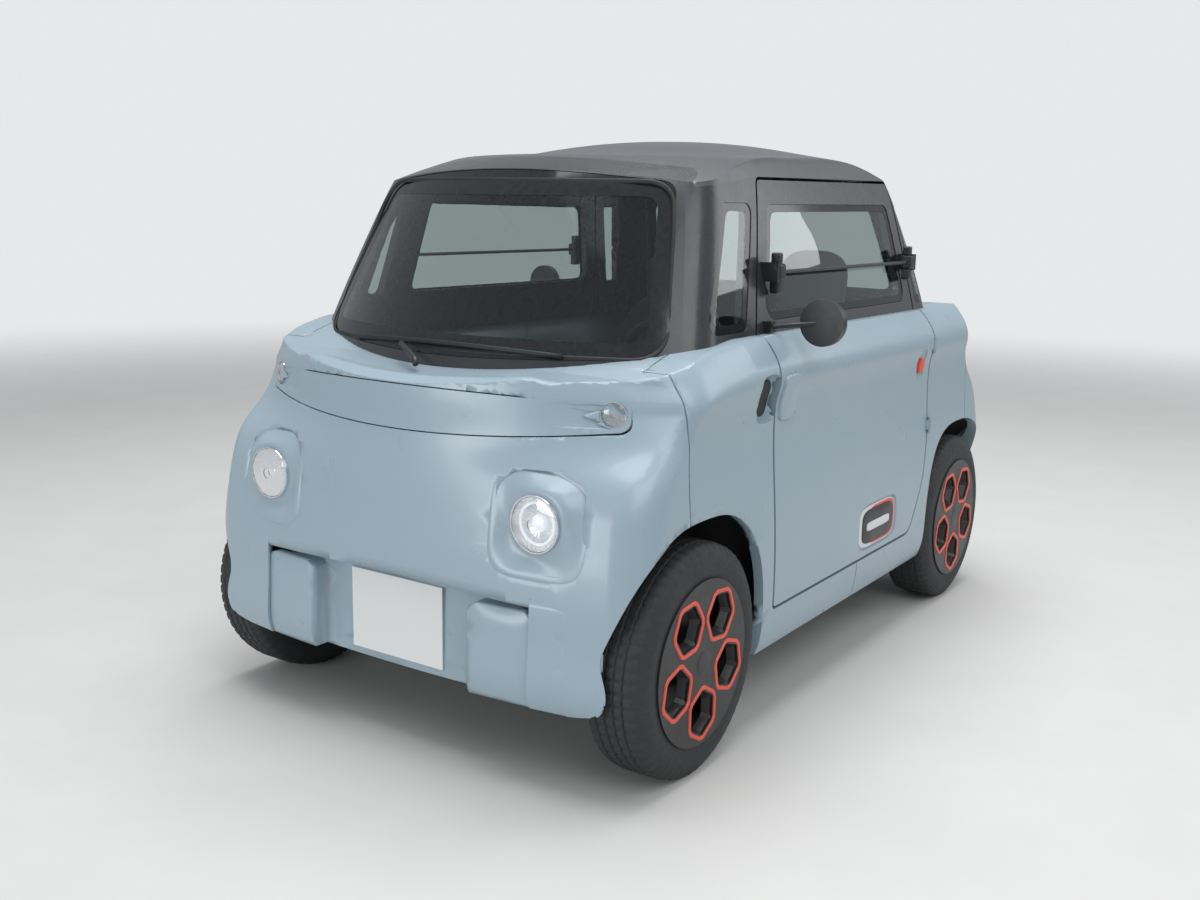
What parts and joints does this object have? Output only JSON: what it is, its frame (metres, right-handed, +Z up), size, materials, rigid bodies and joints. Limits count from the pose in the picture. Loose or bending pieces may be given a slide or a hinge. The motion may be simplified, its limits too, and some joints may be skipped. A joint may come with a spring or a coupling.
{
  "type": "two-seat electric microcar",
  "caption": "Small upright two-seat electric car with a rounded shell, dark cabin frame, opposed side doors, steered front wheels and free-turning wheels.",
  "frame": {"origin": "on the ground, midway between the axles and the two sides", "axes": "+X forward, +Y to the left, +Z up"},
  "size_m": [2.3976, 1.576, 1.5197],
  "materials": {
    "body_paint": "satin pale blue grey",
    "dark_frame": "satin charcoal",
    "glass": "clear, faint green tint",
    "lamp_clear": "clear ribbed lens",
    "lamp_red": "red lens",
    "plate_white": "blank",
    "black_plastic": "fine grain",
    "chassis_steel": "semi matt",
    "cast_metal": "cast",
    "suspension_steel": "satin",
    "seat_fabric": "woven",
    "tyre": "matt",
    "wheel_black": "satin"
  },
  "bodies": {
    "root": {"front_panel": "body_paint", "rear_panel": "body_paint", "front_band": "body_paint", "rear_band": "body_paint", "front_fender_left": "body_paint", "rear_fender_left": "body_paint", "front_fender_right": "body_paint", "rear_fender_right": "body_paint", "cabin_frame_front": "dark_frame", "cabin_frame_rear": "dark_frame", "roof": "dark_frame", "windshield": "glass", "rear_window": "glass", "quarter_windows": "glass", "headlamps": "lamp_clear", "tail_lamps": "lamp_red", "indicators": "lamp_clear", "number_plates": "plate_white", "floor_pan": "chassis_steel", "chassis_frame": "chassis_steel", "battery_box": "chassis_steel", "motor_block": "cast_metal", "arch_liners": "black_plastic", "front_suspension": "suspension_steel", "rear_suspension": "suspension_steel", "dashboard": "black_plastic", "steering_column": "black_plastic", "seat_left": "seat_fabric", "seat_right": "seat_fabric", "firewall": "black_plastic", "rear_bulkhead": "black_plastic"},
    "door_left": {"door_left_panel": "body_paint", "door_left_frame": "dark_frame", "door_left_glass": "glass", "door_left_trim": "black_plastic"},
    "door_right": {"door_right_panel": "body_paint", "door_right_frame": "dark_frame", "door_right_glass": "glass", "door_right_trim": "black_plastic"},
    "knuckle_left": {"knuckle_left": "suspension_steel"},
    "knuckle_right": {"knuckle_right": "suspension_steel"},
    "wheel_front_left": {"tyre_front_left": "tyre", "wheel_front_left": "wheel_black"},
    "wheel_front_right": {"tyre_front_right": "tyre", "wheel_front_right": "wheel_black"},
    "wheel_rear_left": {"tyre_rear_left": "tyre", "wheel_rear_left": "wheel_black"},
    "wheel_rear_right": {"tyre_rear_right": "tyre", "wheel_rear_right": "wheel_black"},
    "steering_wheel": {"steering_wheel": "black_plastic"}
  },
  "joints": [
    {"name": "door_left_hinge", "type": "hinge", "parent": "root", "child": "door_left", "pos_m": [-0.56, 0.682, 0.7], "axis": [0, 0, 1], "range_deg": [0, 75]},
    {"name": "door_right_hinge", "type": "hinge", "parent": "root", "child": "door_right", "pos_m": [0.56, -0.682, 0.7], "axis": [0, 0, 1], "range_deg": [0, 75]},
    {"name": "steer_left", "type": "hinge", "parent": "root", "child": "knuckle_left", "pos_m": [0.864, 0.58, 0.2785], "axis": [0, 0, 1], "range_deg": [-32, 32]},
    {"name": "steer_right", "type": "hinge", "parent": "root", "child": "knuckle_right", "pos_m": [0.864, -0.58, 0.2785], "axis": [0, 0, 1], "range_deg": [-32, 32]},
    {"name": "steering_wheel_turn", "type": "hinge", "parent": "root", "child": "steering_wheel", "pos_m": [0.3, 0.27, 0.85], "axis": [-0.8829, 0, 0.4695], "range_deg": [-480, 480]},
    {"name": "spin_front_left", "type": "hinge", "parent": "knuckle_left", "child": "wheel_front_left", "pos_m": [0.864, 0.606, 0.2785], "axis": [0, 1, 0], "continuous": true},
    {"name": "spin_front_right", "type": "hinge", "parent": "knuckle_right", "child": "wheel_front_right", "pos_m": [0.864, -0.606, 0.2785], "axis": [0, 1, 0], "continuous": true},
    {"name": "spin_rear_left", "type": "hinge", "parent": "root", "child": "wheel_rear_left", "pos_m": [-0.864, 0.606, 0.2785], "axis": [0, 1, 0], "continuous": true},
    {"name": "spin_rear_right", "type": "hinge", "parent": "root", "child": "wheel_rear_right", "pos_m": [-0.864, -0.606, 0.2785], "axis": [0, 1, 0], "continuous": true}
  ],
  "couplings": [
    {"joint": "steer_right", "follows": "steer_left", "ratio": 1},
    {"joint": "steering_wheel_turn", "follows": "steer_left", "ratio": 15}
  ]
}
